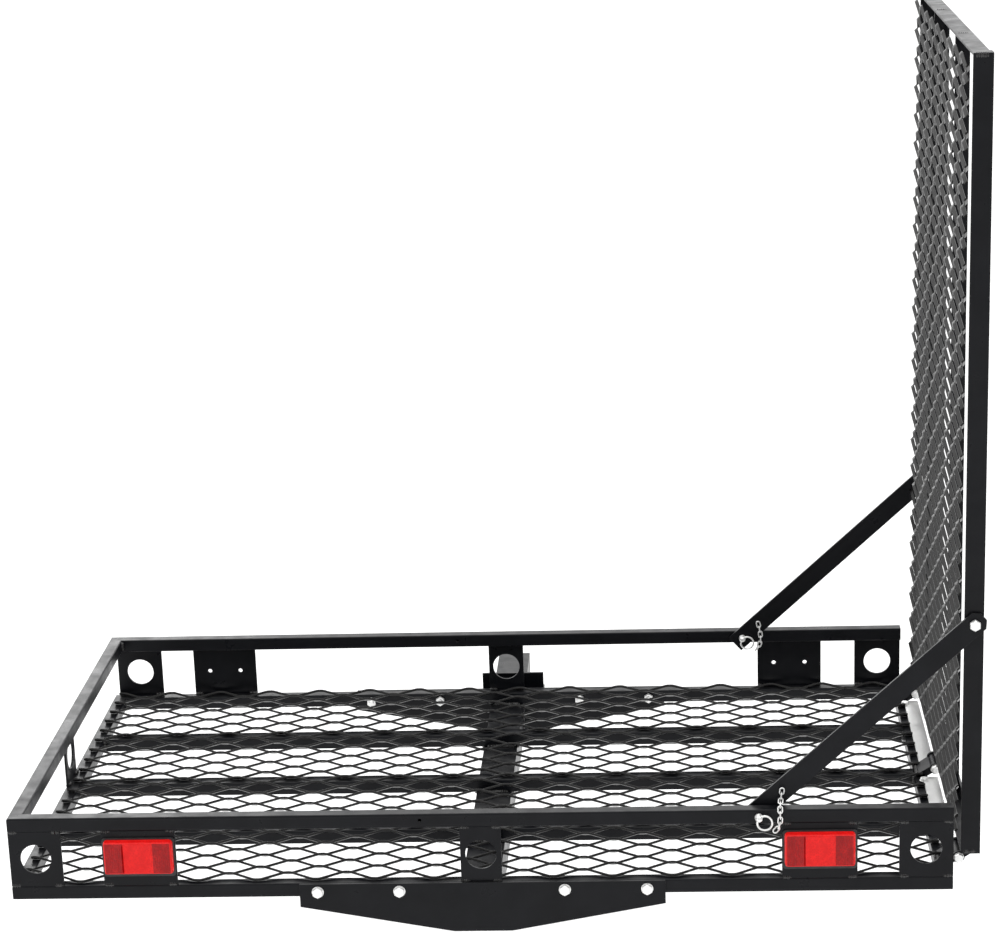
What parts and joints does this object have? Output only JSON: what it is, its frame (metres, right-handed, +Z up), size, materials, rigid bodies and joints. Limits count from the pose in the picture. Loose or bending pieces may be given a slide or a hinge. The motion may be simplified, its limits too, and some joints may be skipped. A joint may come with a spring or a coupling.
{
  "type": "hitch cargo carrier",
  "caption": "Hitch-mounted steel cargo carrier with an expanded-metal deck, low tube rails and a fold-down mesh loading ramp held upright by pinned braces.",
  "frame": {"origin": "centre of the hitch-pin hole in the square shank", "axes": "+X towards the ramp end, +Y towards the vehicle along the shank, +Z up"},
  "size_m": [1.2801, 0.9975, 1.136],
  "materials": {
    "black_powder_coat": "satin",
    "zinc_plate": "satin",
    "red_lens": "gloss",
    "black_plastic": "matte"
  },
  "bodies": {
    "platform": {"bridge_strip_bolts": "zinc_plate", "clamp_angle": "black_powder_coat", "clamp_nuts": "zinc_plate", "clamp_u_bolt": "zinc_plate", "deck_mesh": "black_powder_coat", "front_bottom_rail": "black_powder_coat", "front_bridge_strip": "zinc_plate", "front_center_plate": "black_powder_coat", "front_cross_member": "black_powder_coat", "front_gusset_plate": "black_powder_coat", "front_left_bracket": "black_powder_coat", "front_left_plate": "black_powder_coat", "front_right_bracket": "black_powder_coat", "front_right_plate": "black_powder_coat", "front_top_rail": "black_powder_coat", "gusset_bolts": "zinc_plate", "gusset_nuts": "zinc_plate", "hinge_barrels": "black_powder_coat", "hinge_bolts": "zinc_plate", "hinge_nuts": "zinc_plate", "hitch_shank": "black_powder_coat", "left_bottom_rail": "black_powder_coat", "left_reflector_base": "black_plastic", "left_reflector_lens": "red_lens", "left_side_plate": "black_powder_coat", "left_top_rail": "black_powder_coat", "middle_cross_member": "black_powder_coat", "rear_bottom_rail": "black_powder_coat", "rear_bridge_strip": "zinc_plate", "rear_center_plate": "black_powder_coat", "rear_cross_member": "black_powder_coat", "rear_gusset_plate": "black_powder_coat", "rear_left_bracket": "black_powder_coat", "rear_left_plate": "black_powder_coat", "rear_pin_chain": "zinc_plate", "rear_right_bracket": "black_powder_coat", "rear_right_plate": "black_powder_coat", "rear_top_rail": "black_powder_coat", "right_bottom_rail": "black_powder_coat", "right_reflector_base": "black_plastic", "right_reflector_lens": "red_lens"},
    "ramp": {"ramp_mesh": "black_powder_coat", "ramp_rear_side_rail": "black_powder_coat", "ramp_front_side_rail": "black_powder_coat", "ramp_rear_inner_rail": "black_powder_coat", "ramp_front_inner_rail": "black_powder_coat", "ramp_bottom_member": "black_powder_coat", "ramp_top_member": "black_powder_coat", "ramp_hinge_ears": "black_powder_coat", "brace_pivot_bolts": "zinc_plate", "brace_pivot_nuts": "zinc_plate"},
    "rear_brace": {"rear_brace": "black_powder_coat"},
    "front_brace": {"front_brace": "black_powder_coat", "front_pin_chain": "zinc_plate"},
    "rear_lock_pin": {"rear_lock_pin": "zinc_plate"},
    "front_lock_pin": {"front_lock_pin": "zinc_plate"},
    "rear_pull_ring": {"rear_pull_ring": "zinc_plate"},
    "front_pull_ring": {"front_pull_ring": "zinc_plate"}
  },
  "joints": [
    {"name": "ramp_hinge", "type": "hinge", "parent": "platform", "child": "ramp", "pos_m": [0.6305, -0.544, 0.056], "axis": [0, 1, 0], "range_deg": [0, 110]},
    {"name": "rear_brace_pivot", "type": "hinge", "parent": "ramp", "child": "rear_brace", "pos_m": [0.645, -0.9, 0.382], "axis": [0, 1, 0], "range_deg": [0, 115]},
    {"name": "front_brace_pivot", "type": "hinge", "parent": "ramp", "child": "front_brace", "pos_m": [0.645, -0.188, 0.382], "axis": [0, 1, 0], "range_deg": [0, 115]},
    {"name": "rear_pin_slide", "type": "slide", "parent": "platform", "child": "rear_lock_pin", "axis": [0, -1, 0], "range_m": [0, 0.035]},
    {"name": "front_pin_slide", "type": "slide", "parent": "front_brace", "child": "front_lock_pin", "axis": [0, -1, 0], "range_m": [0, 0.03]},
    {"name": "rear_ring_swing", "type": "hinge", "parent": "rear_lock_pin", "child": "rear_pull_ring", "pos_m": [0.368, -0.9285, 0.1305], "axis": [-0.6428, 0, -0.766], "range_deg": [0, 70]},
    {"name": "front_ring_swing", "type": "hinge", "parent": "front_lock_pin", "child": "front_pull_ring", "pos_m": [0.368, -0.1965, 0.1305], "axis": [-0.6428, 0, -0.766], "range_deg": [0, 70]}
  ]
}
